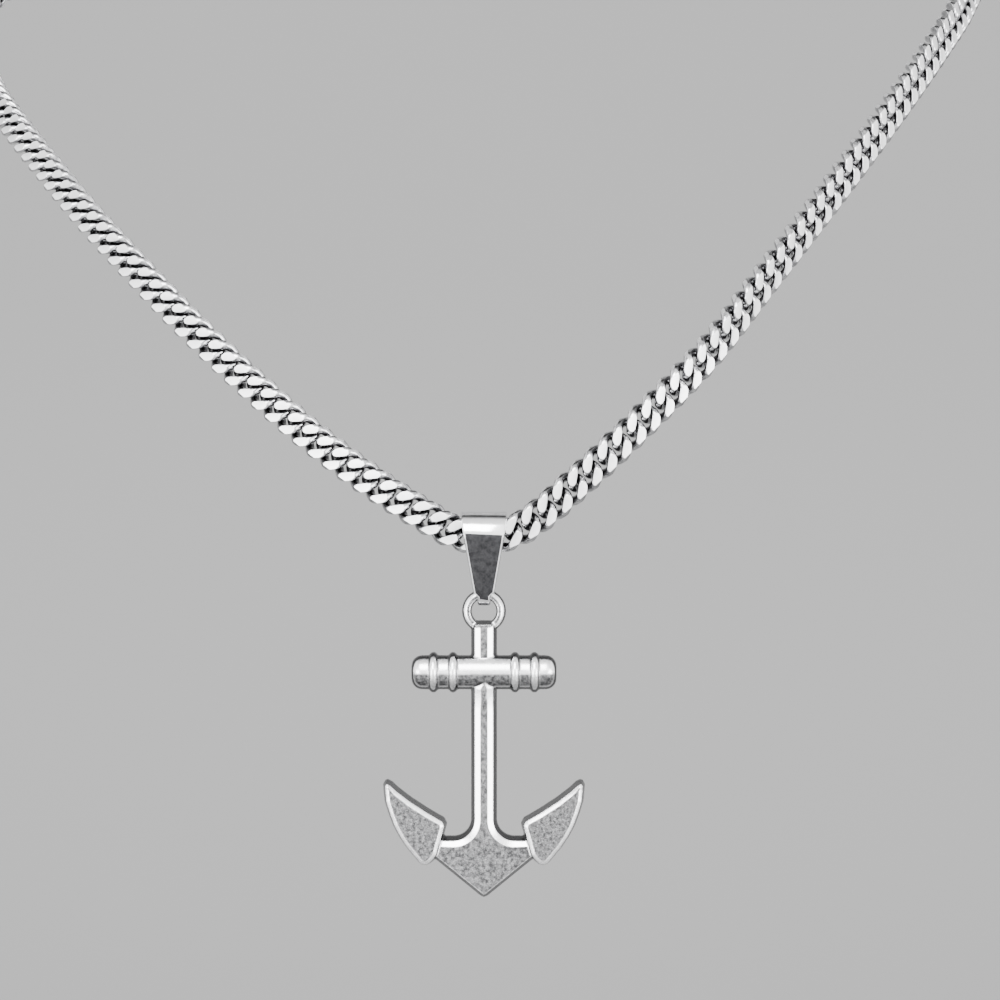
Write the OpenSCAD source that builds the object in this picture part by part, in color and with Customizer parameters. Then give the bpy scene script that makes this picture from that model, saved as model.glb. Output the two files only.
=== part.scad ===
// Curb chain necklace with a folded bail and a cast anchor pendant.
// Millimetres. +Z is up, the front faces -Y, and the origin is the nape.

/* [Chain] */
// Centreline radius of one twisted link
link_r = 2.04; // [1.6:0.01:2.4]
// Corner radius of the five-sided wire
wire_r = 0.48; // [0.35:0.01:0.6]
// Height of the link's twist above and below its middle plane
link_twist = 0.75; // [0.5:0.01:0.9]
// Wanted distance from one link to the next
link_step = 2.81; // [2.5:0.01:3]

/* [Clasp] */
// Distance from the clasp's middle to the centre of each eye
eye_reach = 8.8; // [6:0.1:12]
// Centreline radius of an eye
eye_r = 1.5; // [1.3:0.05:2]
// Wire radius of an eye
eye_wire_r = 0.45; // [0.35:0.01:0.6]
// Distance from an eye's centre to the centre of the link in it
eye_to_link = 2.15; // [2:0.01:2.4]
// Width of the clasp's body
clasp_w = 4.2; // [3:0.1:6]
// Thickness of the clasp's body
clasp_t = 2.4; // [1.5:0.1:3]

/* [Bail] */
// Sheet thickness
bail_t = 0.6; // [0.4:0.05:0.8]
// Inner radius of the top roll that the chain runs in
roll_r = 2.8; // [2.7:0.05:3.2]
// Inner radius of the bottom fold that the ring hangs in
fold_r = 1.1; // [0.9:0.05:1.3]
// Half width of the bail at its top
bail_top_half_w = 3.3; // [2.5:0.05:3.5]
// Half width of the bail where its face begins
bail_face_half_w = 2.8; // [2:0.05:3.2]
// Half width of the bail where the tongue starts
bail_foot_half_w = 1.5; // [1:0.05:2]
// Half width of the tongue inside the ring
tongue_half_w = 0.9; // [0.6:0.05:1]

/* [Anchor] */
// Drop from the chain's centre to the ring's centre
ring_drop = 10.36; // [9:0.01:12]
// Outer radius of the ring
ring_outer_r = 3.1; // [2.5:0.01:3.5]
// Inner radius of the ring
ring_inner_r = 1.72; // [1.3:0.01:2]
// Depth of the ring from front to back
ring_t = 1.6; // [1.2:0.1:1.8]
// Half width of the shank
shank_half_w = 1.75; // [1:0.01:2]
// Drop from the ring's centre to the middle of the stock
stock_drop = 8.57; // [6:0.01:10]
// Length of the stock
stock_l = 20.3; // [14:0.1:22]
// Diameter of the stock
stock_d = 4.8; // [3:0.05:5]
// Diameter of the beads on the stock
bead_d = 5.7; // [4:0.05:6]
// Drop from the ring's centre to the point of the crown
crown_drop = 40.2; // [30:0.1:45]
// Distance from the middle plane to the flat back of the casting
back_y = 1.2; // [0.8:0.1:1.6]
// Distance from the middle plane to the front of the shank and arms
shank_front = 1.4; // [1:0.1:2]
// Distance from the middle plane to the front of the flukes
fluke_front = 2.1; // [1.5:0.1:3]

/* [Hidden] */

// Route of the chain's centreline: x, y behind the bail, z above the bail, roll in degrees.
at_x = 0;
at_y = 1;
at_z = 2;
at_roll = 3;
nape_pt = [0, 84, 96, 35];
route = [
  nape_pt,
  [-26, 83.2, 95.9, 38],
  [-50, 81, 95.4, 41],
  [-70, 77, 94.8, 42],
  [-80.6, 71.5, 92.9, 41],
  [-84.2, 65, 86, 37],
  [-83, 57.4, 77.8, 31],
  [-79.4, 49.6, 70.8, 25],
  [-74.4, 41.4, 64.5, 20],
  [-67.3, 32.6, 56.3, 14],
  [-60, 25.1, 48.1, 8],
  [-51.9, 18.7, 39.7, 3],
  [-43.2, 13.4, 30.9, -2],
  [-33.6, 8.6, 22, -6],
  [-23.5, 4.5, 13.4, -8],
  [-12.8, 1.4, 5.8, -6],
  [-7.9, 0.5, 2.8, -5],
  [-5.35, 0.2, 1.3, -6],
  [-2.75, 0, 0.3, -7],
  [0, 0, 0, -7],
  [2.75, 0, 0.3, -7],
  [5.35, 0, 1.4, -6],
  [7.8, 0, 3.1, -6],
  [12.2, 0.1, 6.9, -8],
  [22.1, 0.8, 16.2, -12],
  [31.6, 3, 26, -12],
  [40.2, 7.4, 36.8, -8],
  [48.4, 13.1, 47.1, -2],
  [56.1, 19.5, 57, 5],
  [63.4, 26.8, 66.6, 12],
  [70, 35, 75.6, 20],
  [75.6, 44.5, 83.6, 28],
  [78.6, 53.6, 90, 34],
  [76, 62.5, 93.2, 38],
  [67, 71.5, 94.6, 39],
  [50.5, 78.6, 95.4, 39],
  [28, 82.6, 95.9, 37]
];
front_i = 19;
front = [-nape_pt[at_x], -nape_pt[at_y], -nape_pt[at_z]];
route_n = len(route);
steps = 24;

// Smooth closed curve through the route, with tangents weighted by the spans.
function pt(i) = route[(i + route_n) % route_n];
function xyz(p) = [p[at_x], p[at_y], p[at_z]];
function span(i) = norm(xyz(pt(i + 1)) - xyz(pt(i)));
function slope(i) = (pt(i + 1) - pt(i)) / span(i);
function tangent(i) = (span(i) * slope(i - 1) + span(i - 1) * slope(i)) / (span(i) + span(i - 1));
function curve(i, u) =
  (2 * u * u * u - 3 * u * u + 1) * pt(i) +
  (u * u * u - 2 * u * u + u) * span(i) * tangent(i) +
  (3 * u * u - 2 * u * u * u) * pt(i + 1) +
  (u * u * u - u * u) * span(i) * tangent(i + 1);
samples = [for (i = [0:route_n - 1], k = [0:steps - 1]) curve(i, k / steps), nape_pt];
function lengths(i, so_far, out) =
  i == len(samples) ? out :
  let (next = so_far + norm(xyz(samples[i]) - xyz(samples[i - 1])))
  lengths(i + 1, next, concat(out, [next]));
run = lengths(1, 0, [0]);
loop_l = run[len(run) - 1];
front_s = run[front_i * steps];
function column(c) = [for (i = [0:len(samples) - 1]) [run[i], samples[i][c]]];
col_x = column(at_x);
col_y = column(at_y);
col_z = column(at_z);
col_roll = column(at_roll);
function place(s) = [lookup(s, col_x), lookup(s, col_y), lookup(s, col_z)] + front;
function unit(v) = v / norm(v);
probe = 0.6;

// Frame at a distance along the loop: along the chain, across it, and out of its face.
function along(s) = unit(place(s + probe) - place(s - probe));
function level_out(s) = unit(cross(along(s), [0, 0, 1]));
function face_out(s) =
  let (roll = lookup(s, col_roll), side = level_out(s))
  side * cos(roll) + cross(side, along(s)) * sin(roll);
function frame_at(p, t, out) =
  let (w = cross(out, t))
  [[t[0], w[0], out[0], p[0]], [t[1], w[1], out[1], p[1]], [t[2], w[2], out[2], p[2]], [0, 0, 0, 1]];

// The links on each side divide the run from the front to the clasp evenly.
clasp_half = eye_reach + eye_to_link;
left_n = round((front_s - clasp_half) / link_step);
right_n = round((loop_l - front_s - clasp_half) / link_step);
left_step = (front_s - clasp_half) / left_n;
right_step = (loop_l - front_s - clasp_half) / right_n;

// One link: a ring twisted so that it passes its neighbours, with a short flat at its top and bottom.
link_turns = [0, 42, 76, 104, 138, 180, 222, 256, 284, 318];
wire_turns = [36, 108, 180, 252, 324];
wire_sides = len(wire_turns);
link_sides = len(link_turns);
function ring_pt(a) = [link_r * cos(a), link_r * sin(a), -link_twist * sin(2 * a)];
function ring_run(a) = unit([-link_r * sin(a), link_r * cos(a), -2 * link_twist * cos(2 * a)]);
function wire_pt(a, b) =
  let (r = [cos(a), sin(a), 0], up = cross(r, ring_run(a)))
  ring_pt(a) + wire_r * (cos(b) * r + sin(b) * up);
link_pts = [for (a = link_turns, b = wire_turns) wire_pt(a, b)];
function corner(i, j) = (i % link_sides) * wire_sides + j % wire_sides;
link_faces = [
  for (i = [0:link_sides - 1], j = [0:wire_sides - 1], k = [0, 1])
    k == 0 ?
      [corner(i, j), corner(i, j + 1), corner(i + 1, j + 1)] :
      [corner(i, j), corner(i + 1, j + 1), corner(i + 1, j)]
];

module link() {
  polyhedron(points = link_pts, faces = link_faces);
}

module link_at(s) {
  multmatrix(frame_at(place(s), along(s), face_out(s)))
    link();
}

module chain_left() {
  color("silver")
    for (i = [0:left_n])
      link_at(front_s - i * left_step);
}

module chain_right() {
  color("silver")
    for (i = [1:right_n])
      link_at(front_s + i * right_step);
}

// The clasp sits on the chord between the two end links.
end_left = place(clasp_half);
end_right = place(loop_l - clasp_half);
clasp_mid = (end_left + end_right) / 2;
clasp_along = unit(end_left - end_right);
clasp_face = unit(cross(clasp_along, cross(face_out(clasp_half), clasp_along)));
body_half_l = eye_reach - eye_r + 0.1;

module clasp() {
  color("silver")
    multmatrix(frame_at(clasp_mid, clasp_along, clasp_face)) {
      cube([2 * (body_half_l - clasp_w / 2), clasp_w, clasp_t], center = true);
      for (side = [-1, 1]) {
        translate([side * (body_half_l - clasp_w / 2), 0, 0])
          cylinder(d = clasp_w, h = clasp_t, center = true, $fn = 48);
        translate([side * eye_reach, 0, 0])
          rotate([90, 0, 0])
            rotate_extrude($fn = 48)
              translate([eye_r, 0])
                circle(r = eye_wire_r, $fn = 12);
      }
    }
}

// Bail: a roll over the chain and a fold under the ring, joined by straight sheet.
roll_z = 0.15;
ring_z = -ring_drop;
hang_gap = 0.16;
fold_z = ring_z + sqrt(pow(ring_inner_r, 2) - pow(tongue_half_w, 2)) - hang_gap + fold_r;
lean = asin((roll_r - fold_r) / (roll_z - fold_z));
face_z = -0.56;
foot_z = -7.7;
tongue_z = -7.9;
bail_reach = 8;

module loop_section(grow) {
  top_r = roll_r + grow;
  low_r = fold_r + grow;
  translate([0, roll_z])
    circle(r = top_r, $fn = 64);
  translate([0, fold_z])
    circle(r = low_r, $fn = 64);
  polygon([
    [top_r * cos(lean), roll_z - top_r * sin(lean)],
    [-top_r * cos(lean), roll_z - top_r * sin(lean)],
    [-low_r * cos(lean), fold_z - low_r * sin(lean)],
    [low_r * cos(lean), fold_z - low_r * sin(lean)]
  ]);
}

bail_edge = [
  [bail_top_half_w, roll_z + roll_r + 1],
  [bail_top_half_w, roll_z + roll_r],
  [bail_face_half_w, face_z],
  [bail_foot_half_w, foot_z],
  [tongue_half_w, tongue_z],
  [tongue_half_w, fold_z - fold_r - 1]
];
function flip(points) = [for (i = [len(points) - 1:-1:0]) [-points[i][0], points[i][1]]];

module bail() {
  color("silver")
    translate(front)
      intersection() {
        rotate([90, 0, 90])
          linear_extrude(bail_reach, center = true)
            difference() {
              loop_section(bail_t);
              loop_section(0);
            }
        rotate([90, 0, 0])
          linear_extrude(bail_reach, center = true)
            polygon(concat(bail_edge, flip(bail_edge)));
      }
}

// Anchor, drawn from the ring's centre.
ring_bevel = 0.45;
shank_top = -1.3;
fillet_r = 2.46;
arm_top = -31.64;
arm_end = 7.4;
arm_end_z = -34.5;
fluke_edge = [
  [5.2, -29.3],
  [8.6, -27.7],
  [11.4, -25.7],
  [13.8, -23.6],
  [14.3, -24.6],
  [13.9, -27.2],
  [12.9, -29.7],
  [11.5, -32.1],
  [9.9, -34.2],
  [8.4, -35.7],
  [7, -34.9],
  [5.8, -32.4]
];
bead_x = [4.34, 7.07];
bead_r = 0.62;
stock_round = 1.1;
round_steps = 6;

module ring() {
  half_t = ring_t / 2;
  rotate([90, 0, 0])
    rotate_extrude($fn = 64)
      polygon([
        [ring_inner_r, -half_t + ring_bevel],
        [ring_inner_r + ring_bevel, -half_t],
        [ring_outer_r - ring_bevel, -half_t],
        [ring_outer_r, -half_t + ring_bevel],
        [ring_outer_r, half_t - ring_bevel],
        [ring_outer_r - ring_bevel, half_t],
        [ring_inner_r + ring_bevel, half_t],
        [ring_inner_r, half_t - ring_bevel]
      ]);
}

module shank() {
  translate([0, 0, arm_top - 2])
    linear_extrude(shank_top - arm_top + 2)
      polygon([
        [-0.5, -shank_front],
        [0.5, -shank_front],
        [shank_half_w - 0.3, -0.9],
        [shank_half_w, -0.4],
        [shank_half_w, back_y],
        [-shank_half_w, back_y],
        [-shank_half_w, -0.4],
        [0.3 - shank_half_w, -0.9]
      ]);
}

module stock() {
  r = stock_d / 2;
  half_l = stock_l / 2;
  corner = [
    for (i = [0:round_steps])
      let (a = 90 * i / round_steps)
      [r - stock_round * (1 - cos(a)), half_l - stock_round * (1 - sin(a))]
  ];
  low_corner = [for (i = [round_steps:-1:0]) [corner[i][0], -corner[i][1]]];
  translate([0, 0, -stock_drop])
    rotate([0, 90, 0]) {
      rotate_extrude($fn = 64)
        polygon(concat([[0, -half_l]], low_corner, corner, [[0, half_l]]));
      for (x = bead_x, side = [-1, 1])
        translate([0, 0, side * x])
          rotate_extrude($fn = 64)
            translate([bead_d / 2 - bead_r, 0])
              circle(r = bead_r, $fn = 12);
    }
}

module plate(edge, front_y) {
  translate([0, back_y, 0])
    rotate([90, 0, 0])
      linear_extrude(back_y + front_y)
        polygon(edge);
}

module crown() {
  fillet = [
    for (i = [0:round_steps])
      let (a = 180 + 90 * i / round_steps)
      [shank_half_w + fillet_r * (1 + cos(a)), arm_top + fillet_r * (1 + sin(a))]
  ];
  half = concat(fillet, [[arm_end, arm_top], [arm_end, arm_end_z], [0, -crown_drop]]);
  plate(concat(half, flip(half)), shank_front - 0.2);
}

module anchor() {
  color("silver")
    translate(front + [0, 0, ring_z])
      difference() {
        union() {
          ring();
          shank();
          stock();
          crown();
          plate(fluke_edge, fluke_front);
          plate(flip(fluke_edge), fluke_front);
        }
        translate([-stock_l, back_y, -crown_drop])
          cube([2 * stock_l, stock_d, crown_drop]);
      }
}

chain_left();
chain_right();
clasp();
bail();
anchor();
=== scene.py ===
import math

import bmesh
import bpy
import numpy as np
from mathutils import Matrix, Vector


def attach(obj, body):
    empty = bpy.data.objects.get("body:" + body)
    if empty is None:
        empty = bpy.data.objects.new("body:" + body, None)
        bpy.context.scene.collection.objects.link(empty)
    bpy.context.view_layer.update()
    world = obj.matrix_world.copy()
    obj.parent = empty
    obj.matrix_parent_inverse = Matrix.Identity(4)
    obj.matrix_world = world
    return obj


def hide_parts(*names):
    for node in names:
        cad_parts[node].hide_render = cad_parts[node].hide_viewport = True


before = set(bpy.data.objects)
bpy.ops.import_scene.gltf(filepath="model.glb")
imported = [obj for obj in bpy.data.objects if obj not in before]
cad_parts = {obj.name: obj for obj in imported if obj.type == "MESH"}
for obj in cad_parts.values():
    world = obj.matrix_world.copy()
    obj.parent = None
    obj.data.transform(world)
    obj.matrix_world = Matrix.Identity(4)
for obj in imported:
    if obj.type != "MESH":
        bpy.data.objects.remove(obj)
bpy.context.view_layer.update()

mm = 0.001
cutTolerance = 1e-7
weldTolerance = 1e-6
chainFront = Vector((0, -0.084, -0.096))  # middle of the link inside the bail
print("frame loaded")


# Small helpers for working as by hand.
def clearSelection():
    if bpy.context.mode != "OBJECT":
        bpy.ops.object.mode_set(mode="OBJECT")
    bpy.ops.object.select_all(action="DESELECT")


def justAdded(name):
    piece = bpy.context.active_object
    piece.name = name
    piece.data.name = name
    return piece


def pickOnly(piece):
    clearSelection()
    piece.select_set(True)
    bpy.context.view_layer.objects.active = piece


def openEdit(piece, selectMode="VERT"):
    pickOnly(piece)
    bpy.ops.object.mode_set(mode="EDIT")
    bpy.ops.mesh.select_mode(type=selectMode)
    bpy.ops.mesh.select_all(action="DESELECT")


def closeEdit():
    bpy.ops.object.mode_set(mode="OBJECT")


def selectEdges(piece, wanted):
    shape = bmesh.from_edit_mesh(piece.data)
    for edge in shape.edges:
        edge.select_set(bool(wanted(edge)))
    bmesh.update_edit_mesh(piece.data)


def applyModifier(piece, kind, **settings):
    pickOnly(piece)
    modifier = piece.modifiers.new(kind.lower(), kind)
    for name, value in settings.items():
        setattr(modifier, name, value)
    bpy.ops.object.modifier_apply(modifier=modifier.name)


def bakePlace(piece):
    pickOnly(piece)
    bpy.ops.object.transform_apply(location=True, rotation=True, scale=True)


def addMask(piece, name, values, domain="POINT"):
    layer = piece.data.attributes.new(name, "FLOAT", domain)
    layer.data.foreach_set("value", np.asarray(values, np.float32))


def turnOutwards():
    # In edit mode: every face of the piece looks out.
    bpy.ops.mesh.select_all(action="SELECT")
    bpy.ops.mesh.normals_make_consistent(inside=False)


def joinAll(name, parts):
    clearSelection()
    for part in parts:
        part.select_set(True)
    bpy.context.view_layer.objects.active = parts[0]
    bpy.ops.object.join()
    return justAdded(name)


def smoothStep(low, high, value):
    share = np.clip((value - low) / (high - low), 0, 1)
    return float(share * share * (3 - 2 * share))


def addNode(tree, kind, place=(0, 0), **settings):
    made = tree.nodes.new(kind)
    made.location = place
    for name, value in settings.items():
        setattr(made, name, value)
    return made


# Camera: level, a third of a metre in front of the pendant, as the picture was taken.
view = {
    "place": (0.00224, -0.418, -0.0908),
    "lens": 85.8,
    "sensor": 36,
    "nearest": 0.01,
}
bpy.ops.object.camera_add(location=view["place"], rotation=(math.pi / 2, 0, 0))
camera = bpy.context.active_object
camera.data.lens = view["lens"]
camera.data.sensor_width = view["sensor"]
camera.data.clip_start = view["nearest"]
bpy.context.scene.camera = camera

# Studio: a pale sweep of paper, soft boxes and a room that is bright behind the camera.
studio = {
    "floorHeight": -0.42,
    "wallDepth": 1.0,  # behind a camera that looks from the back
    "wallHeight": 2.2,
    "sweepRadius": 0.45,
    "halfWidth": 3.5,
    "floorFront": -0.27,  # from here to the camera the floor is seen but not mirrored in the metal
    "nearEdge": -8.0,
    "cuts": 60,
    "paper": (0.24, 0.24, 0.24, 1),
    "paperRough": 0.9,
    "paperGloss": 0.1,
    "beyondPaper": (0.5, 0.5, 0.5, 1),  # an even grey that the camera sees past the paper
    "brightSide": (0.0, -0.95, 0.31),  # the lit part of the room, a little above the camera
    # how far a way turns towards the bright side, or to the left or right, and its light
    "roomLevels": [(0.0, 0.05), (0.15, 0.3), (0.38, 1.5), (0.68, 1.9), (0.8, 3.4)],
    "sideLevels": [(0.35, 0.0), (0.75, 2.6)],
    "aim": (0, -0.07, -0.09),  # where the boxes point
}
softBoxes = [
    {"name": "keyBox", "place": (-0.12, -0.62, 0.34), "size": 0.42, "power": 8.0},
    {"name": "leftBox", "place": (-0.52, -0.58, -0.12), "size": 0.42, "power": 6.0},
    {"name": "rightBox", "place": (0.52, -0.58, -0.12), "size": 0.42, "power": 6.0},
    {"name": "topBox", "place": (0.0, 0.02, 0.55), "size": 0.55, "power": 7.0, "unseen": True},
]


def levelRamp(tree, levels, place):
    ramp = addNode(tree, "ShaderNodeValToRGB", place)
    ramp.color_ramp.interpolation = "EASE"
    while len(ramp.color_ramp.elements) < len(levels):
        ramp.color_ramp.elements.new(0.5)  # each stop gets its place below
    for stop, (share, level) in zip(ramp.color_ramp.elements, levels):
        stop.position = share
        stop.color = (level, level, level, 1)
    return ramp


def layPaper(name, nearRun, farRun, finish):
    # A strip of the paper: level, then rolled up into the wall.
    bpy.ops.mesh.primitive_plane_add(size=1, location=(0, 0, 0))
    paper = justAdded(name)
    openEdit(paper)
    bpy.ops.mesh.select_all(action="SELECT")
    bpy.ops.mesh.subdivide(number_cuts=studio["cuts"])
    closeEdit()
    radius = studio["sweepRadius"]
    floorEnd = studio["wallDepth"] - radius
    arc = radius * math.pi / 2
    for vertex in paper.data.vertices:
        side = vertex.co.x * 2 * studio["halfWidth"]
        run = nearRun + (vertex.co.y + 0.5) * (farRun - nearRun)
        turn = min(max((run - floorEnd) / radius, 0), math.pi / 2)
        depth = min(run, floorEnd) + radius * math.sin(turn)
        rise = radius * (1 - math.cos(turn)) + max(run - floorEnd - arc, 0)
        vertex.co = (side, depth, studio["floorHeight"] + rise)
    pickOnly(paper)
    bpy.ops.object.shade_smooth()
    paper.data.materials.append(finish)
    return paper


def buildStudio():
    clearSelection()
    finish = bpy.data.materials.new("paper")
    finish.use_nodes = True
    shader = finish.node_tree.nodes["Principled BSDF"]
    shader.inputs["Base Color"].default_value = studio["paper"]
    shader.inputs["Roughness"].default_value = studio["paperRough"]
    shader.inputs["Specular IOR Level"].default_value = studio["paperGloss"]
    wallTop = studio["wallDepth"] + studio["wallHeight"]
    layPaper("paperSweep", studio["floorFront"], wallTop, finish)
    nearPaper = layPaper("paperFront", studio["nearEdge"], studio["floorFront"], finish)
    nearPaper.visible_glossy = False
    nearPaper.visible_diffuse = False
    nearPaper.visible_shadow = False

    world = bpy.data.worlds.new("litRoom")
    world.use_nodes = True
    room = world.node_tree
    around = addNode(room, "ShaderNodeTexCoord", (-800, 0))
    toward = addNode(room, "ShaderNodeVectorMath", (-600, 0), operation="DOT_PRODUCT")
    toward.inputs[1].default_value = Vector(studio["brightSide"]).normalized()
    roomLight = levelRamp(room, studio["roomLevels"], (-400, 0))
    apart = addNode(room, "ShaderNodeSeparateXYZ", (-800, -250))
    sideways = addNode(room, "ShaderNodeMath", (-600, -250), operation="ABSOLUTE")
    sideLight = levelRamp(room, studio["sideLevels"], (-400, -250))
    brighter = addNode(room, "ShaderNodeMix", (-150, 0), data_type="RGBA", blend_type="LIGHTEN")
    brighter.inputs["Factor"].default_value = 1
    wire = room.links.new
    wire(around.outputs["Generated"], toward.inputs[0])
    wire(toward.outputs["Value"], roomLight.inputs["Fac"])
    wire(around.outputs["Generated"], apart.inputs["Vector"])
    wire(apart.outputs["X"], sideways.inputs[0])
    wire(sideways.outputs["Value"], sideLight.inputs["Fac"])
    wire(roomLight.outputs["Color"], brighter.inputs["A"])
    wire(sideLight.outputs["Color"], brighter.inputs["B"])
    seen = addNode(room, "ShaderNodeLightPath", (-400, 300))
    plain = addNode(room, "ShaderNodeMix", (50, 100), data_type="RGBA")
    plain.inputs["B"].default_value = studio["beyondPaper"]
    wire(seen.outputs["Is Camera Ray"], plain.inputs["Factor"])
    wire(brighter.outputs["Result"], plain.inputs["A"])
    wire(plain.outputs["Result"], room.nodes["Background"].inputs["Color"])
    bpy.context.scene.world = world

    for box in softBoxes:
        bpy.ops.object.light_add(type="AREA", location=box["place"])
        lamp = bpy.context.active_object
        lamp.name = box["name"]
        lamp.data.energy = box["power"]
        lamp.data.size = box["size"]
        lamp.visible_camera = False
        lamp.visible_glossy = not box.get("unseen", False)
        facing = Vector(studio["aim"]) - lamp.location
        lamp.rotation_euler = facing.to_track_quat("-Z", "Y").to_euler()


buildStudio()
print("studio set")


# Finishes: clouds and grit shared by every steel, and one finish for each way it is worked.
metalGrain = {
    "cloudDetail": 4, "cloudRoughness": 0.6, "cloudRange": (0.3, 0.7),
    "gritDetail": 2, "gritRoughness": 0.7, "gritRange": (0.35, 0.68),
    "roughSpread": 0.06,
    "polishedGrit": 0.12,  # how much of the grit's height is left on polished faces
}


def makeGrainGroup():
    group = bpy.data.node_groups.new("metalGrain", "ShaderNodeTree")
    sockets = group.interface
    sockets.new_socket("Vector", in_out="INPUT", socket_type="NodeSocketVector")
    sockets.new_socket("Cloud Scale", in_out="INPUT", socket_type="NodeSocketFloat")
    sockets.new_socket("Grit Scale", in_out="INPUT", socket_type="NodeSocketFloat")
    sockets.new_socket("Clouds", in_out="OUTPUT", socket_type="NodeSocketFloat")
    sockets.new_socket("Grit", in_out="OUTPUT", socket_type="NodeSocketFloat")
    entry = addNode(group, "NodeGroupInput", (-600, 0))
    leave = addNode(group, "NodeGroupOutput", (400, 0))
    clouds = addNode(group, "ShaderNodeTexNoise", (-300, 150))
    clouds.inputs["Detail"].default_value = metalGrain["cloudDetail"]
    clouds.inputs["Roughness"].default_value = metalGrain["cloudRoughness"]
    grit = addNode(group, "ShaderNodeTexNoise", (-300, -150))
    grit.inputs["Detail"].default_value = metalGrain["gritDetail"]
    grit.inputs["Roughness"].default_value = metalGrain["gritRoughness"]
    spread = addNode(group, "ShaderNodeMapRange", (0, -150))
    spread.inputs["From Min"].default_value = metalGrain["gritRange"][0]
    spread.inputs["From Max"].default_value = metalGrain["gritRange"][1]
    wire = group.links.new
    wire(entry.outputs["Vector"], clouds.inputs["Vector"])
    wire(entry.outputs["Vector"], grit.inputs["Vector"])
    wire(entry.outputs["Cloud Scale"], clouds.inputs["Scale"])
    wire(entry.outputs["Grit Scale"], grit.inputs["Scale"])
    wire(clouds.outputs["Fac"], leave.inputs["Clouds"])
    wire(grit.outputs["Fac"], spread.inputs["Value"])
    wire(spread.outputs["Result"], leave.inputs["Grit"])
    return group


grainGroup = makeGrainGroup()


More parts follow.
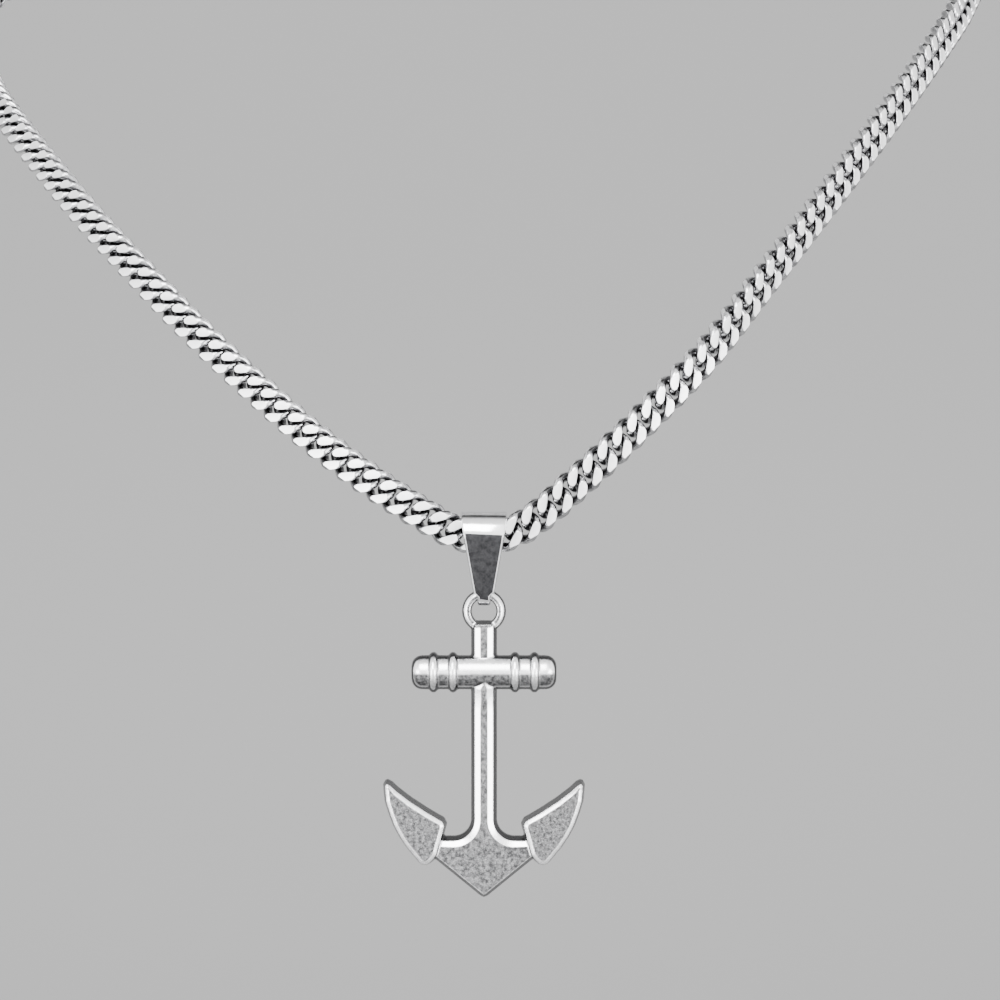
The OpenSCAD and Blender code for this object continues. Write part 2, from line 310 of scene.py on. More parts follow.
def metalFinish(name, look):
    finish = bpy.data.materials.new(name)
    finish.use_nodes = True
    tree = finish.node_tree
    shader = tree.nodes["Principled BSDF"]
    shader.inputs["Metallic"].default_value = 1
    where = addNode(tree, "ShaderNodeTexCoord", (-1100, 0))
    grain = addNode(tree, "ShaderNodeGroup", (-850, 0))
    grain.node_tree = grainGroup
    grain.inputs["Cloud Scale"].default_value = look["cloudScale"]
    grain.inputs["Grit Scale"].default_value = look["gritScale"]
    wire = tree.links.new
    wire(where.outputs["Object"], grain.inputs["Vector"])

    tone = addNode(tree, "ShaderNodeMix", (-550, 250), data_type="RGBA")
    tone.inputs["A"].default_value = look["dullColor"]
    tone.inputs["B"].default_value = look["brightColor"]
    toneRange = addNode(tree, "ShaderNodeMapRange", (-750, 250))
    toneRange.inputs["From Min"].default_value = look["cloudLow"]
    toneRange.inputs["From Max"].default_value = look["cloudHigh"]
    wire(grain.outputs["Clouds"], toneRange.inputs["Value"])
    wire(toneRange.outputs["Result"], tone.inputs["Factor"])
    color = tone.outputs["Result"]

    if "matteMask" in look:  # ground, cast or satin faces against the polished rest; the satin's near-black tone is painted dark reflection, the cast tone under the stock painted shade
        matte = addNode(tree, "ShaderNodeAttribute", (-850, -250))
        matte.attribute_name = look["matteMask"]
        mask = matte.outputs["Fac"]
        matteTone = addNode(tree, "ShaderNodeMix", (-550, 500), data_type="RGBA")
        matteTone.inputs["A"].default_value = look["matteLow"]
        matteTone.inputs["B"].default_value = look["matteHigh"]
        wire(toneRange.outputs["Result"], matteTone.inputs["Factor"])
        faceTone = addNode(tree, "ShaderNodeMix", (-350, 350), data_type="RGBA")
        wire(mask, faceTone.inputs["Factor"])
        wire(color, faceTone.inputs["A"])
        wire(matteTone.outputs["Result"], faceTone.inputs["B"])
        gritTone = addNode(tree, "ShaderNodeMix", (-200, 350), data_type="RGBA")
        gritTone.blend_type = "MULTIPLY"
        gritShade = addNode(tree, "ShaderNodeMapRange", (-550, 500))
        gritShade.inputs["To Min"].default_value = look["gritDark"]
        gritShade.inputs["To Max"].default_value = 1
        wire(grain.outputs["Grit"], gritShade.inputs["Value"])
        wire(mask, gritTone.inputs["Factor"])
        wire(faceTone.outputs["Result"], gritTone.inputs["A"])
        wire(gritShade.outputs["Result"], gritTone.inputs["B"])
        color = gritTone.outputs["Result"]

    if "paintedShadeMask" in look:  # painted shade: darker in the link hollows and on the anchor's walls and grooves
        paintedShade = addNode(tree, "ShaderNodeAttribute", (-400, 550))
        paintedShade.attribute_name = look["paintedShadeMask"]
        darken = addNode(tree, "ShaderNodeMix", (0, 350), data_type="RGBA")
        darken.inputs["B"].default_value = look["paintedShadeColor"]
        wire(paintedShade.outputs["Fac"], darken.inputs["Factor"])
        wire(color, darken.inputs["A"])
        color = darken.outputs["Result"]
    wire(color, shader.inputs["Base Color"])

    rough = addNode(tree, "ShaderNodeMapRange", (-350, -50))
    rough.inputs["From Min"].default_value = metalGrain["cloudRange"][0]
    rough.inputs["From Max"].default_value = metalGrain["cloudRange"][1]
    rough.inputs["To Min"].default_value = look["roughLow"]
    rough.inputs["To Max"].default_value = look["roughHigh"]
    wire(grain.outputs["Clouds"], rough.inputs["Value"])
    roughness = rough.outputs["Result"]
    if "matteMask" in look:
        matteRough = addNode(tree, "ShaderNodeMapRange", (-550, -200))
        matteRough.inputs["To Min"].default_value = look["matteRough"] - metalGrain["roughSpread"]
        matteRough.inputs["To Max"].default_value = look["matteRough"] + metalGrain["roughSpread"]
        wire(grain.outputs["Grit"], matteRough.inputs["Value"])
        mixRough = addNode(tree, "ShaderNodeMix", (-150, -50), data_type="FLOAT")
        wire(mask, mixRough.inputs["Factor"])
        wire(roughness, mixRough.inputs["A"])
        wire(matteRough.outputs["Result"], mixRough.inputs["B"])
        roughness = mixRough.outputs["Result"]
    wire(roughness, shader.inputs["Roughness"])

    bump = addNode(tree, "ShaderNodeBump", (-150, -350))
    bump.inputs["Strength"].default_value = look["bumpStrength"]
    bump.inputs["Distance"].default_value = look["bumpDepth"]
    height = grain.outputs["Grit"]
    if "matteMask" in look:
        lift = addNode(tree, "ShaderNodeMath", (-400, -400), operation="MULTIPLY")
        gritLeft = addNode(tree, "ShaderNodeMapRange", (-600, -400))
        gritLeft.inputs["To Min"].default_value = metalGrain["polishedGrit"]
        wire(mask, gritLeft.inputs["Value"])
        wire(height, lift.inputs[0])
        wire(gritLeft.outputs["Result"], lift.inputs[1])
        height = lift.outputs["Value"]
    wire(height, bump.inputs["Height"])
    wire(bump.outputs["Normal"], shader.inputs["Normal"])
    return finish


# Chain: one curb link, twisted and ground flat, copied to where each link of the frame lies.
link = {
    "halfLength": 2.1 * mm,
    "halfWidth": 1.86 * mm,
    "squareness": 0.9,  # one for an oval, less for squarer ends
    "twistDegrees": 92,
    "wireRadius": 0.67 * mm,
    "groundFace": 1.1 * mm,  # half thickness left by the grinding
    "groundSide": 2.42 * mm,
    "shoulder": 1.9 * mm,  # where the slanting cut between face and side begins
    "shoulderDegrees": 48,
    "rim": 0.05 * mm,
    "shortest": 0.03 * mm,  # edges shorter than this are closed up after the cuts
    "turns": 40,
    "sides": 12,
    "fineSteps": 720,  # of the oval before it is stepped evenly
    "flatWithin": 1e-6,
    "squarely": 0.999,  # how squarely a face must look to be one of the flats
    # what puts painted shade on a point: facing into the link, lying between its faces
    "shadeInward": 0.55,
    "shadeDepth": 0.6,
    "shadeRange": (-0.2, 0.9),
    "trianglesPerFrameLink": 100,
    "placeDigits": 7,
}


def linkPath():
    # A rounded oval laid flat, stepped evenly and then twisted about its length.
    turn = np.linspace(0, 2 * math.pi, link["fineSteps"] + 1)
    x = link["halfLength"] * np.sign(np.cos(turn)) * np.abs(np.cos(turn)) ** link["squareness"]
    y = link["halfWidth"] * np.sign(np.sin(turn)) * np.abs(np.sin(turn)) ** link["squareness"]
    run = np.concatenate([[0], np.cumsum(np.hypot(np.diff(x), np.diff(y)))])
    even = np.linspace(0, run[-1], link["turns"] + 1)[:-1]
    x, y = np.interp(even, run, x), np.interp(even, run, y)
    lean = -math.radians(link["twistDegrees"]) / 2 * np.sin(math.pi / 2 * x / link["halfLength"])
    path = np.stack([x, y * np.cos(lean), y * np.sin(lean)], 1)
    along = np.roll(path, -1, 0) - np.roll(path, 1, 0)
    along /= np.linalg.norm(along, axis=1)[:, None]
    out = path / np.linalg.norm(path, axis=1)[:, None]
    out -= along * np.sum(along * out, 1)[:, None]
    out /= np.linalg.norm(out, axis=1)[:, None]
    return path, out, np.cross(along, out)


def isGround(middle, normal):
    # On one of the flats left by the grinding wheels.
    onFace = abs(abs(middle.z) - link["groundFace"]) < link["flatWithin"]
    onSide = abs(abs(middle.y) - link["groundSide"]) < link["flatWithin"]
    facesOut = abs(normal.z) > link["squarely"]
    sidesOut = abs(normal.y) > link["squarely"]
    return (onFace and facesOut) or (onSide and sidesOut)


def bordersGround(edge):
    around = [isGround(face.calc_center_median(), face.normal) for face in edge.link_faces]
    return sum(around) == 1


def grindingCuts():
    # Front, back, both sides and the shoulders between them: a place and a way for each wheel.
    face, side, shoulder = link["groundFace"], link["groundSide"], link["shoulder"]
    slant = math.radians(link["shoulderDegrees"])
    cuts = [((0, 0, way * face), (0, 0, way)) for way in (1, -1)]
    cuts += [((0, way * side, 0), (0, way, 0)) for way in (1, -1)]
    for up in (1, -1):
        for out in (1, -1):
            slope = (0, out * math.sin(slant), up * math.cos(slant))
            cuts.append(((0, out * shoulder, up * face), slope))
    return cuts


def buildLink():
    clearSelection()
    bpy.ops.mesh.primitive_torus_add(
        major_segments=link["turns"],
        minor_segments=link["sides"],
        major_radius=link["halfLength"],
        minor_radius=link["wireRadius"],
    )
    piece = justAdded("curbLink")
    path, out, up = linkPath()
    for i in range(link["turns"]):
        for j in range(link["sides"]):
            turn = 2 * math.pi * j / link["sides"]
            wire = link["wireRadius"] * (math.cos(turn) * out[i] + math.sin(turn) * up[i])
            piece.data.vertices[i * link["sides"] + j].co = path[i] + wire
    for spot, way in grindingCuts():
        openEdit(piece)
        bpy.ops.mesh.select_all(action="SELECT")
        bpy.ops.mesh.bisect(
            plane_co=spot, plane_no=way, use_fill=True, clear_outer=True, threshold=cutTolerance
        )
        closeEdit()
    openEdit(piece)
    bpy.ops.mesh.select_all(action="SELECT")
    bpy.ops.mesh.remove_doubles(threshold=link["shortest"])
    closeEdit()
    face, side = link["groundFace"], link["groundSide"]
    for vertex in piece.data.vertices:  # closing up may lift a point off its flat by a hair
        if abs(vertex.co.z) > face - link["shortest"]:
            vertex.co.z = math.copysign(face, vertex.co.z)
        if abs(vertex.co.y) > side - link["shortest"]:
            vertex.co.y = math.copysign(side, vertex.co.y)
    openEdit(piece, "EDGE")
    selectEdges(piece, bordersGround)
    bpy.ops.mesh.bevel(offset=link["rim"], segments=1, affect="EDGES", clamp_overlap=True)
    turnOutwards()
    closeEdit()
    pickOnly(piece)
    bpy.ops.object.shade_smooth()
    # The ground flats keep crisp borders.
    ground = [near for near in piece.data.polygons if isGround(near.center, near.normal)]
    groundPoints = {index for near in ground for index in near.vertices}
    sharpKeys = {key for near in ground for key in near.edge_keys}
    for edge in piece.data.edges:
        edge.use_edge_sharp = tuple(sorted(edge.vertices)) in sharpKeys
    points = piece.data.vertices
    addMask(piece, "ground", [1.0 if point.index in groundPoints else 0.0 for point in points])
    addMask(piece, "paintedShade", [paintedShadeShare(point) for point in points])
    return piece


def paintedShadeShare(vertex):
    # How deep inside the link a point lies, turned to its neighbour: its share of painted shade.
    inward = -Vector((vertex.co.x, vertex.co.y, 0)).normalized().dot(vertex.normal)
    depth = 1 - abs(vertex.co.z) / link["groundFace"]
    share = link["shadeInward"] * inward + link["shadeDepth"] * depth
    return smoothStep(*link["shadeRange"], share)


def placesOf(node):
    # The middle of each link of the frame and the way that its flat face looks.
    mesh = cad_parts[node].data
    points = mesh.vertices
    corners = np.array([points[i].co for face in mesh.polygons for i in face.vertices], float)
    perLink = 3 * link["trianglesPerFrameLink"]
    centres, faces = [], []
    for start in range(0, len(corners), perLink):
        cloud = np.round(corners[start:start + perLink], link["placeDigits"])
        cloud = np.unique(cloud, axis=0)
        centre = cloud.mean(0)
        centres.append(centre)
        faces.append(np.linalg.svd(cloud - centre)[2][2])
    return centres, faces


def layLinks(name, node, pattern):
    # A copy of the pattern in each place, its length along the chain.
    centres, faces = placesOf(node)
    copies = []
    for i, (centre, out) in enumerate(zip(centres, faces)):
        before = centres[max(i - 1, 0)]
        after = centres[min(i + 1, len(centres) - 1)]
        out = Vector(out)
        along = Vector(after - before)
        along = (along - out * along.dot(out)).normalized()
        across = out.cross(along)
        place = Matrix((along, across, out)).transposed().to_4x4()
        place.translation = Vector(centre)
        copy = pattern.copy()
        copy.data = pattern.data.copy()
        copy.data.transform(place)
        bpy.context.scene.collection.objects.link(copy)
        copies.append(copy)
    chain = joinAll(name, copies)
    chain.data.materials.clear()
    chain.data.materials.append(chainSteel)
    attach(chain, "necklace")
    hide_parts(node)
    print(name, len(centres), "links", len(chain.data.polygons), "faces")
    return chain


chainSteel = metalFinish("chainSteel", {
    "cloudScale": 1300, "gritScale": 9000,
    "cloudLow": 0.36, "cloudHigh": 0.64,
    # the polished wire's dark tone is painted dark reflection; the ground flats keep a bright steel
    # tone
    "dullColor": (0.3, 0.3, 0.31, 1), "brightColor": (0.66, 0.66, 0.67, 1),
    "matteMask": "ground", "matteLow": (0.88, 0.88, 0.89, 1), "matteHigh": (0.95, 0.95, 0.96, 1),
    "gritDark": 0.95, "matteRough": 0.4,
    # painted shade inside each link, between its faces
    "paintedShadeMask": "paintedShade", "paintedShadeColor": (0.06, 0.06, 0.064, 1),
    "roughLow": 0.1, "roughHigh": 0.18,
    "bumpStrength": 0.12, "bumpDepth": 0.00001,
})
curbLink = buildLink()
layLinks("chainLeft", "chain_left", curbLink)
layLinks("chainRight", "chain_right", curbLink)
bpy.data.objects.remove(curbLink)
print("chain laid")

# Bail: a strip of sheet rolled over the chain and folded under the ring.
bail = {
    "sheet": 0.6 * mm,
    "rollCentre": 0.15 * mm,
    "rollRadius": 3.1 * mm,
    "foldCentre": -7.954 * mm,
    "foldRadius": 1.4 * mm,
    "creaseDegrees": 3,
    "rollSteps": 40,
    "foldSteps": 16,
    "panelSteps": 14,
    "edgeRound": 0.29 * mm,
    "edgeSegments": 3,
    "edgeDegrees": 50,
    "smoothDegrees": 28,
    # where the satin begins and ends, in millimetres from the chain's middle; its near-black tone
    # is painted dark reflection
    "panelTop": 0.4,
    "foldTop": -7.9,
    "foldBright": -8.7,
    "panelSquarely": 0.97,  # how squarely a face must look along the panel's way
    "edgewise": 0.05,  # and how little it may look to the side
    "widths": [  # height from the chain's middle, half width, both in millimetres
        (3.55, 3.25), (2.95, 3.25), (0.3, 2.87), (-7.7, 1.5), (-7.95, 0.9), (-11, 0.9),
    ],
}


def bailHalfWidth(height):
    rows = bail["widths"]
    return float(np.interp(-height / mm, [-row[0] for row in rows], [row[1] for row in rows])) * mm


def bailLean():
    # How far the panels lean, from the wide roll down to the narrow fold.
    narrowing = bail["rollRadius"] - bail["foldRadius"]
    return math.asin(narrowing / (bail["rollCentre"] - bail["foldCentre"]))


def panelPoints(start, end):
    shares = [i / bail["panelSteps"] for i in range(1, bail["panelSteps"])]
    return [tuple(a + (b - a) * share for a, b in zip(start, end)) for share in shares]


def bailSection():
    # Depth and height down the middle: over the roll, down the back, round the fold and up.
    lean, crease = bailLean(), math.radians(bail["creaseDegrees"])
    roll, fold = [], []
    for i in range(bail["rollSteps"] + 1):
        turn = crease + (math.pi + lean - crease) * i / bail["rollSteps"]
        height = bail["rollCentre"] + bail["rollRadius"] * math.sin(turn)
        roll.append((-bail["rollRadius"] * math.cos(turn), height))
    for i in range(bail["foldSteps"] + 1):
        turn = -lean - (math.pi - 2 * lean) * i / bail["foldSteps"]
        height = bail["foldCentre"] + bail["foldRadius"] * math.sin(turn)
        fold.append((bail["foldRadius"] * math.cos(turn), height))
    return roll + panelPoints(roll[-1], fold[0]) + fold + panelPoints(fold[-1], roll[0])


def buildBail():
    outline = bailSection()
    clearSelection()
    bpy.ops.mesh.primitive_cylinder_add(
        vertices=len(outline),
        radius=bail["rollRadius"],
        depth=1,
        end_fill_type="NOTHING",
        rotation=(0, math.pi / 2, 0),
    )
    piece = justAdded("bailStrip")
    bakePlace(piece)
    for way in (1, -1):
        rim = sorted(
            (vertex for vertex in piece.data.vertices if vertex.co.x * way > 0),
            key=lambda vertex: math.atan2(vertex.co.z, -vertex.co.y) % (2 * math.pi),
        )
        for vertex, (depth, height) in zip(rim, outline):
            vertex.co = chainFront + Vector((way * bailHalfWidth(height), depth, height))
    openEdit(piece)
    turnOutwards()
    closeEdit()
    applyModifier(piece, "SOLIDIFY", thickness=bail["sheet"], offset=0, use_even_offset=True)
    applyModifier(
        piece,
        "BEVEL",
        width=bail["edgeRound"],
        segments=bail["edgeSegments"],
        limit_method="ANGLE",
        angle_limit=math.radians(bail["edgeDegrees"]),
    )
    openEdit(piece)
    turnOutwards()
    closeEdit()
    pickOnly(piece)
    bpy.ops.object.shade_smooth_by_angle(angle=math.radians(bail["smoothDegrees"]))
    addMask(piece, "satin", [satinPaintedDarkShare(face) for face in piece.data.polygons], "FACE")
    return piece


def satinPaintedDarkShare(face):
    # The front panel under the crease is satin, painted near black as a dark reflection; the rolled
    # top, the back and the edges are bright.
    height = (face.center.z - chainFront.z) / mm
    squarely = abs(face.normal.y) * math.cos(bailLean()) - face.normal.z * math.sin(bailLean())
    onPanel = bail["foldTop"] <= height < bail["panelTop"] and squarely > bail["panelSquarely"]
    onFold = bail["foldBright"] < height < bail["foldTop"]
    inFront = face.normal.y < 0 and face.center.y < chainFront.y
    return float(inFront and abs(face.normal.x) < bail["edgewise"] and (onPanel or onFold))


bailSteel = metalFinish("bailSteel", {
    "cloudScale": 1500, "gritScale": 7000,
    "cloudLow": 0.36, "cloudHigh": 0.64,
    "dullColor": (0.84, 0.84, 0.85, 1), "brightColor": (0.93, 0.93, 0.94, 1),
    "matteMask": "satin",
    # the satin's near-black tone is painted dark reflection, its roughness the satin finish
    "matteLow": (0.028, 0.028, 0.03, 1), "matteHigh": (0.056, 0.056, 0.059, 1),
    "gritDark": 0.85, "matteRough": 0.36,
    "roughLow": 0.08, "roughHigh": 0.16,
    "bumpStrength": 0.3, "bumpDepth": 0.00003,
})
bailStrip = buildBail()
bailStrip.data.materials.append(bailSteel)
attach(bailStrip, "bail")
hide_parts("bail")
print("bail folded", len(bailStrip.data.polygons), "faces")

# Anchor: ring, shank, stock, crown and palms, cast in one.
anchor = {
    "ringCentre": chainFront + Vector((0, 0, -10.36 * mm)),
    "voxel": 0.125 * mm,
    "backDepth": 1.2,
    "smoothing": 3,
    "smoothFactor": 0.5,
    "sharpTurn": 0.6,  # keeps a sharp corner from being drawn in too far
    "sandFrom": (0.94, 0.985),  # how squarely a face looks forward or back to be left as cast
    "backSand": 0.6,  # how much of the dull look the flat back keeps
    "wallShadeFrom": (0.5, 0.66),  # how squarely a face must look forward or back to get no painted shade on the wall
}
# In these, lengths are in millimetres and heights go from the ring's centre.
castRing = {
    "segments": 96,
    # reach from the ring's centre, depth
    "section": [
        (1.72, 0.1), (1.84, -0.55), (1.98, -0.8), (2.42, -0.8), (2.84, -0.52),
        (3.02, 0.0), (3.1, 0.5), (3.0, 0.8), (1.84, 0.8), (1.72, 0.6),
    ],
}
castShank = {
    "half": 1.83, "top": -1.3, "topRun": 0.9, "fillet": 2.4, "filletSteps": 14, "armTop": -31.55,
    "armEnd": 7.4, "armEndHeight": -34.4, "point": -40.2, "pointRound": 0.5, "pointRise": 0.2,
    # depth, inset of the wall, inset of the bevel
    "layers": [(1.2, 0.0, 0.0), (0.4, 0.04, 0.0), (-1.0, 0.5, 0.0), (-1.4, 0.56, 0.8)],
}
castArch = {  # the pointed foot of the shank on the stock
    "apex": -8.2, "shoulder": -10.4, "end": -15.2, "steps": 12,
    "layers": [(0.8, 0.0, 0.0), (-2.28, 0.5, 0.0), (-2.68, 0.56, 0.8)],
    "fall": 1.33, "fallLength": 6.6,  # the front falls back to the shank's, ever less steeply
}
castStock = {
    "drop": 8.57, "radius": 2.4, "halfLength": 10.15, "endRound": 1.5,
    "beads": [4.34, 7.07], "beadReach": 2.85, "beadRound": 0.6, "grooveHalf": 0.12,
    "sides": 64, "beadSteps": 6, "endSteps": 8,
}
castMask = {
    "archPast": 0.05,  # farther out than the stock by this, a point is on the arch
    "stockNear": 0.1,
    "stockBack": 0.9,
    "shankFront": -1.5,
    "under": (-0.12, 0.06),  # painted shade: the stock takes the dark cast tone where it looks down
    "underFacing": (0.55, 0.75),
    # painted shade in the grooves at the root of each bead
    "grooveShade": 0.85,
    "grooveFrom": 0.04,
    "grooveFade": 0.08,
    "beadDull": 0.4,
}
castPalm = {
    # out from the middle, height from the ring's centre, share of the bevel
    "edge": [
        (13.5, -23.62, 0.8), (13.9, -23.75, 0.8), (14.2, -24.35, 0.8), (14.0, -26.6, 0.9),
        (13.45, -28.4, 0.9), (12.8, -30.1, 0.9), (11.95, -31.7, 0.9), (11.0, -33.1, 0.9),
        (9.25, -35.2, 0.9), (8.75, -35.6, 0.9), (8.2, -35.7, 0.9), (7.6, -35.5, 0.9),
        (7.05, -35.05, 0.9), (6.3, -34.1, 0.9), (5.8, -32.2, 0.9), (5.15, -29.8, 0.8),
        (5.55, -29.0, 0.9), (7.7, -27.75, 1.0), (10.1, -26.2, 1.0), (12.0, -24.75, 0.9),
        (12.9, -23.9, 0.8),
    ],
    "layers": [(1.2, 0.0, 0.0), (0.5, 0.03, 0.0), (-1.78, 0.36, 0.0), (-2.1, 0.42, 0.52)],
}


def castPoint(x, y, z):
    # A place in the scene from millimetres right, back and up from the ring's centre.
    return anchor["ringCentre"] + Vector((x, y, z)) * mm


def mirrored(right):
    return [(-x, z, share) for x, z, share in reversed(right)]


def inwardWays(outline):
    # The way inwards from each corner, long enough to move both its sides in by one.
    corners = [Vector((row[0], row[1])) for row in outline]
    total = sum(a.x * b.y - a.y * b.x for a, b in zip(corners, corners[1:] + corners[:1]))
    turn = 1 if total > 0 else -1
    ways = []
    for i, corner in enumerate(corners):
        before = (corner - corners[i - 1]).normalized()
        after = (corners[(i + 1) % len(corners)] - corner).normalized()
        sideA = Vector((-before.y, before.x)) * turn
        sideB = Vector((-after.y, after.x)) * turn
        ways.append((sideA + sideB) / max(1 + sideA.dot(sideB), anchor["sharpTurn"]))
    return ways


def castLayers(name, outline, layers):
    # An outline raised layer by layer, each drawn in from the last: drafted wall, bevel, flat face.
    ways = inwardWays(outline)

    def spots(layer):
        depth, wall, bevel = layer
        places = []
        for (x, z, share), way in zip(outline, ways):
            inset = wall + bevel * share
            places.append(castPoint(x + way.x * inset, depth, z + way.y * inset))
        return places

    clearSelection()
    bpy.ops.mesh.primitive_circle_add(vertices=len(outline), fill_type="NGON")
    piece = justAdded(name)
    last = spots(layers[0])
    for vertex, spot in zip(piece.data.vertices, last):
        vertex.co = spot
    openEdit(piece, "FACE")
    bpy.ops.mesh.select_all(action="SELECT")
    for layer in layers[1:]:
        bpy.ops.mesh.extrude_region_move()
        shape = bmesh.from_edit_mesh(piece.data)
        moved = [vertex for vertex in shape.verts if vertex.select]
        reached = spots(layer)
        for vertex in moved:
            nearest = min(range(len(last)), key=lambda i: (last[i] - vertex.co).length)
            vertex.co = reached[nearest]
        bmesh.update_edit_mesh(piece.data)
        last = reached
    turnOutwards()
    closeEdit()
    return piece


def castBody():
    # Shank, arms and crown: down the right side, over the point and up the left.
    half, top, fillet = castShank["half"], castShank["top"], castShank["fillet"]
    right = [(half, top, 0.0), (half, top - castShank["topRun"], 1.0)]
    for i in range(castShank["filletSteps"] + 1):
        turn = math.pi + math.pi / 2 * i / castShank["filletSteps"]
        height = castShank["armTop"] + fillet * (1 + math.sin(turn))
        right.append((half + fillet * (1 + math.cos(turn)), height, 1.0))
    right.append((castShank["armEnd"], castShank["armTop"], 0.9))
    right.append((castShank["armEnd"], castShank["armEndHeight"], 0.1))
    right.append((castShank["pointRound"], castShank["point"] + castShank["pointRise"], 0.1))
    outline = right + [(0, castShank["point"], 0.1)] + mirrored(right)
    return castLayers("castBody", outline, castShank["layers"])


def castPalmPiece(side):
    outline = [(side * x, z, share) for x, z, share in castPalm["edge"]]
    return castLayers("castPalm", outline, castPalm["layers"])


def castArchPiece():
    half, shoulder, end = castShank["half"], castArch["shoulder"], castArch["end"]
    steps = castArch["steps"]
    right = [(half, end + (shoulder - end) * i / steps, 1.0) for i in range(steps + 1)]
    outline = right + [(0, castArch["apex"], 0.5)] + mirrored(right)
    piece = castLayers("castArch", outline, castArch["layers"])
    for vertex in piece.data.vertices:
        drop = castArch["apex"] - (vertex.co.z - anchor["ringCentre"].z) / mm
        left = 1 - min(max(drop / castArch["fallLength"], 0), 1)
        if vertex.co.y < anchor["ringCentre"].y - mm:
            vertex.co.y += castArch["fall"] * (1 - left * left) * mm
    return piece


def castRingPiece():
    section = castRing["section"]
    clearSelection()
    bpy.ops.mesh.primitive_circle_add(vertices=len(section), fill_type="NOTHING")
    piece = justAdded("castRing")
    for vertex, (x, y) in zip(piece.data.vertices, section):
        vertex.co = castPoint(x, y, 0)
    openEdit(piece)
    bpy.ops.mesh.select_all(action="SELECT")
    bpy.ops.mesh.spin(
        steps=castRing["segments"], angle=2 * math.pi, center=anchor["ringCentre"], axis=(0, 1, 0)
    )
    bpy.ops.mesh.select_all(action="SELECT")
    bpy.ops.mesh.remove_doubles(threshold=weldTolerance)
    turnOutwards()
    closeEdit()
    return piece


def stockRadius(x):
    out = castStock["halfLength"] - abs(x)
    radius = castStock["radius"]
    if out < castStock["endRound"]:
        short = castStock["endRound"] - out
        radius -= castStock["endRound"] - math.sqrt(max(castStock["endRound"] ** 2 - short ** 2, 0))
    for bead in castStock["beads"]:
        off = abs(abs(x) - bead)
        if off < castStock["beadRound"]:
            reach = castStock["beadReach"] - castStock["beadRound"]
            radius = max(radius, reach + math.sqrt(castStock["beadRound"] ** 2 - off ** 2))
    return radius


def stockRings():
    # Where rings of points go along the stock: over each bead and round each end.
    places = {0.0}
    beadSteps, endSteps = castStock["beadSteps"], castStock["endSteps"]
    for bead in castStock["beads"]:
        for i in range(-beadSteps, beadSteps + 1):
            places.add(bead + castStock["beadRound"] * math.sin(math.pi / 2 * i / beadSteps))
    for i in range(endSteps + 1):
        short = castStock["endRound"] * (1 - math.sin(math.pi / 2 * i / endSteps))
        places.add(castStock["halfLength"] - short)
    return sorted(places | {-x for x in places})


def castStockPiece():
    half, rings = castStock["halfLength"], stockRings()
    centre = castPoint(0, 0, -castStock["drop"])
    clearSelection()
    bpy.ops.mesh.primitive_cylinder_add(
        vertices=castStock["sides"],
        radius=castStock["radius"] * mm,
        depth=2 * half * mm,
        location=centre,
        rotation=(0, math.pi / 2, 0),
    )
    piece = justAdded("castStock")
    bakePlace(piece)
    openEdit(piece, "EDGE")
    selectEdges(piece, lambda edge: abs(edge.verts[0].co.x - edge.verts[1].co.x) > half * mm)
    bpy.ops.mesh.subdivide(number_cuts=len(rings) - 2)
    closeEdit()
    step = 2 * half / (len(rings) - 1)
    for vertex in piece.data.vertices:
        x = rings[int(round(((vertex.co.x - centre.x) / mm + half) / step))]
        around = Vector((0, vertex.co.y - centre.y, vertex.co.z - centre.z)).normalized()
        vertex.co = centre + Vector((x * mm, 0, 0)) + around * stockRadius(x) * mm
    openEdit(piece)
    bpy.ops.mesh.select_all(action="SELECT")
    back = centre + Vector((0, anchor["backDepth"] * mm, 0))
    bpy.ops.mesh.bisect(
        plane_co=back, plane_no=(0, 1, 0), use_fill=True, clear_outer=True, threshold=cutTolerance
    )
    closeEdit()
    return piece


def isOnStock(x, y, z):
    # Round the stock, on either side of the shank or in front of it, and not on the arch.
    reach = math.hypot(y, z + castStock["drop"])
    beside = abs(x) > castShank["half"]
    onArch = abs(x) < castShank["half"] and reach > castStock["radius"] + castMask["archPast"]
    near = castMask["stockNear"]
    within = reach < castStock["beadReach"] + near and abs(x) < castStock["halfLength"] + near
    onStock = within and y < castMask["stockBack"]
    return onStock and not onArch and (beside or y < castMask["shankFront"])


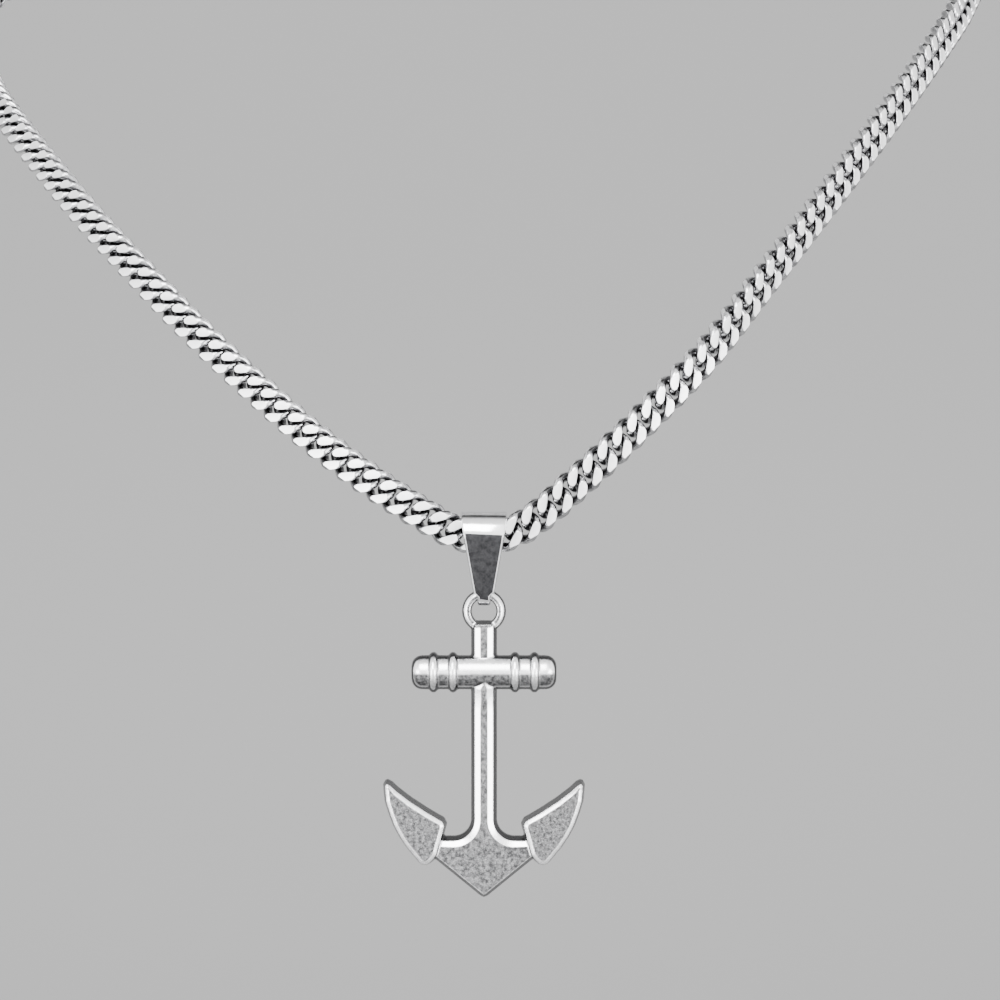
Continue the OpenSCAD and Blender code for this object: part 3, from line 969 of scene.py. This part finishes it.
def castMasks(piece):
    # Sand is the dull face as cast, with painted shade where the stock looks down; wall is painted
    # shade on the sides and in the grooves; the rest is polished.
    sandAndUnderShade, wall = [], []
    for vertex in piece.data.vertices:
        x, y, z = (vertex.co - anchor["ringCentre"]) / mm
        facing = abs(vertex.normal.y)
        dullAndUnderShade = smoothStep(*anchor["sandFrom"], facing)
        wallAndGrooveShade = 1 - smoothStep(*anchor["wallShadeFrom"], facing)
        if isOnStock(x, y, z):
            dullAndUnderShade = 1 - smoothStep(*castMask["under"], vertex.normal.z)
            dullAndUnderShade *= smoothStep(*castMask["underFacing"], facing)
            grooveEnd = castStock["grooveHalf"] + castMask["grooveFade"]
            for bead in castStock["beads"]:
                off = abs(abs(x) - bead)
                root = abs(off - castStock["beadRound"])
                groove = 1 - smoothStep(castMask["grooveFrom"], grooveEnd, root)
                wallAndGrooveShade = max(wallAndGrooveShade, castMask["grooveShade"] * groove)
                if off < castStock["beadRound"]:
                    dullAndUnderShade *= castMask["beadDull"]
        if vertex.normal.y > 0:
            dullAndUnderShade *= anchor["backSand"]  # the flat back is smoother
        sandAndUnderShade.append(dullAndUnderShade * (1 - wallAndGrooveShade))
        wall.append(wallAndGrooveShade)
    addMask(piece, "sandAndUnderShade", sandAndUnderShade)
    addMask(piece, "wall", wall)


def buildAnchor():
    parts = [castBody(), castPalmPiece(-1), castPalmPiece(1)]
    parts += [castRingPiece(), castStockPiece(), castArchPiece()]
    piece = joinAll("anchorCast", parts)
    applyModifier(piece, "REMESH", mode="VOXEL", voxel_size=anchor["voxel"])
    applyModifier(piece, "SMOOTH", factor=anchor["smoothFactor"], iterations=anchor["smoothing"])
    pickOnly(piece)
    bpy.ops.object.shade_smooth()
    castMasks(piece)
    return piece


castSteel = metalFinish("castSteel", {
    "cloudScale": 2300, "gritScale": 6500,
    "cloudLow": 0.36, "cloudHigh": 0.64,
    "dullColor": (0.84, 0.84, 0.85, 1), "brightColor": (0.95, 0.95, 0.96, 1),
    # the dark cast tone is the dull face as cast, and painted shade under the stock
    "matteMask": "sandAndUnderShade", "matteLow": (0.06, 0.06, 0.062, 1), "matteHigh": (0.28, 0.28, 0.285, 1),
    "gritDark": 0.42, "matteRough": 0.4,
    # the wall mask is painted shade on the sides and in the bead grooves
    "paintedShadeMask": "wall", "paintedShadeColor": (0.07, 0.07, 0.073, 1),
    "roughLow": 0.2, "roughHigh": 0.32,
    "bumpStrength": 0.6, "bumpDepth": 0.00005,
})
anchorCast = buildAnchor()
anchorCast.data.materials.clear()
anchorCast.data.materials.append(castSteel)
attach(anchorCast, "anchor")
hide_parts("anchor")
print("anchor cast", len(anchorCast.data.polygons), "faces")

# Clasp: the frame's own piece, in brushed steel.
claspSteel = metalFinish("claspSteel", {
    "cloudScale": 620, "gritScale": 6000,
    "cloudLow": 0.3, "cloudHigh": 0.7,
    "dullColor": (0.5, 0.5, 0.51, 1), "brightColor": (0.66, 0.66, 0.67, 1),
    "roughLow": 0.16, "roughHigh": 0.26,
    "bumpStrength": 0.2, "bumpDepth": 0.00001,
})
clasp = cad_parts["clasp"]
clasp.data.materials.clear()
clasp.data.materials.append(claspSteel)
print("clasp finished")
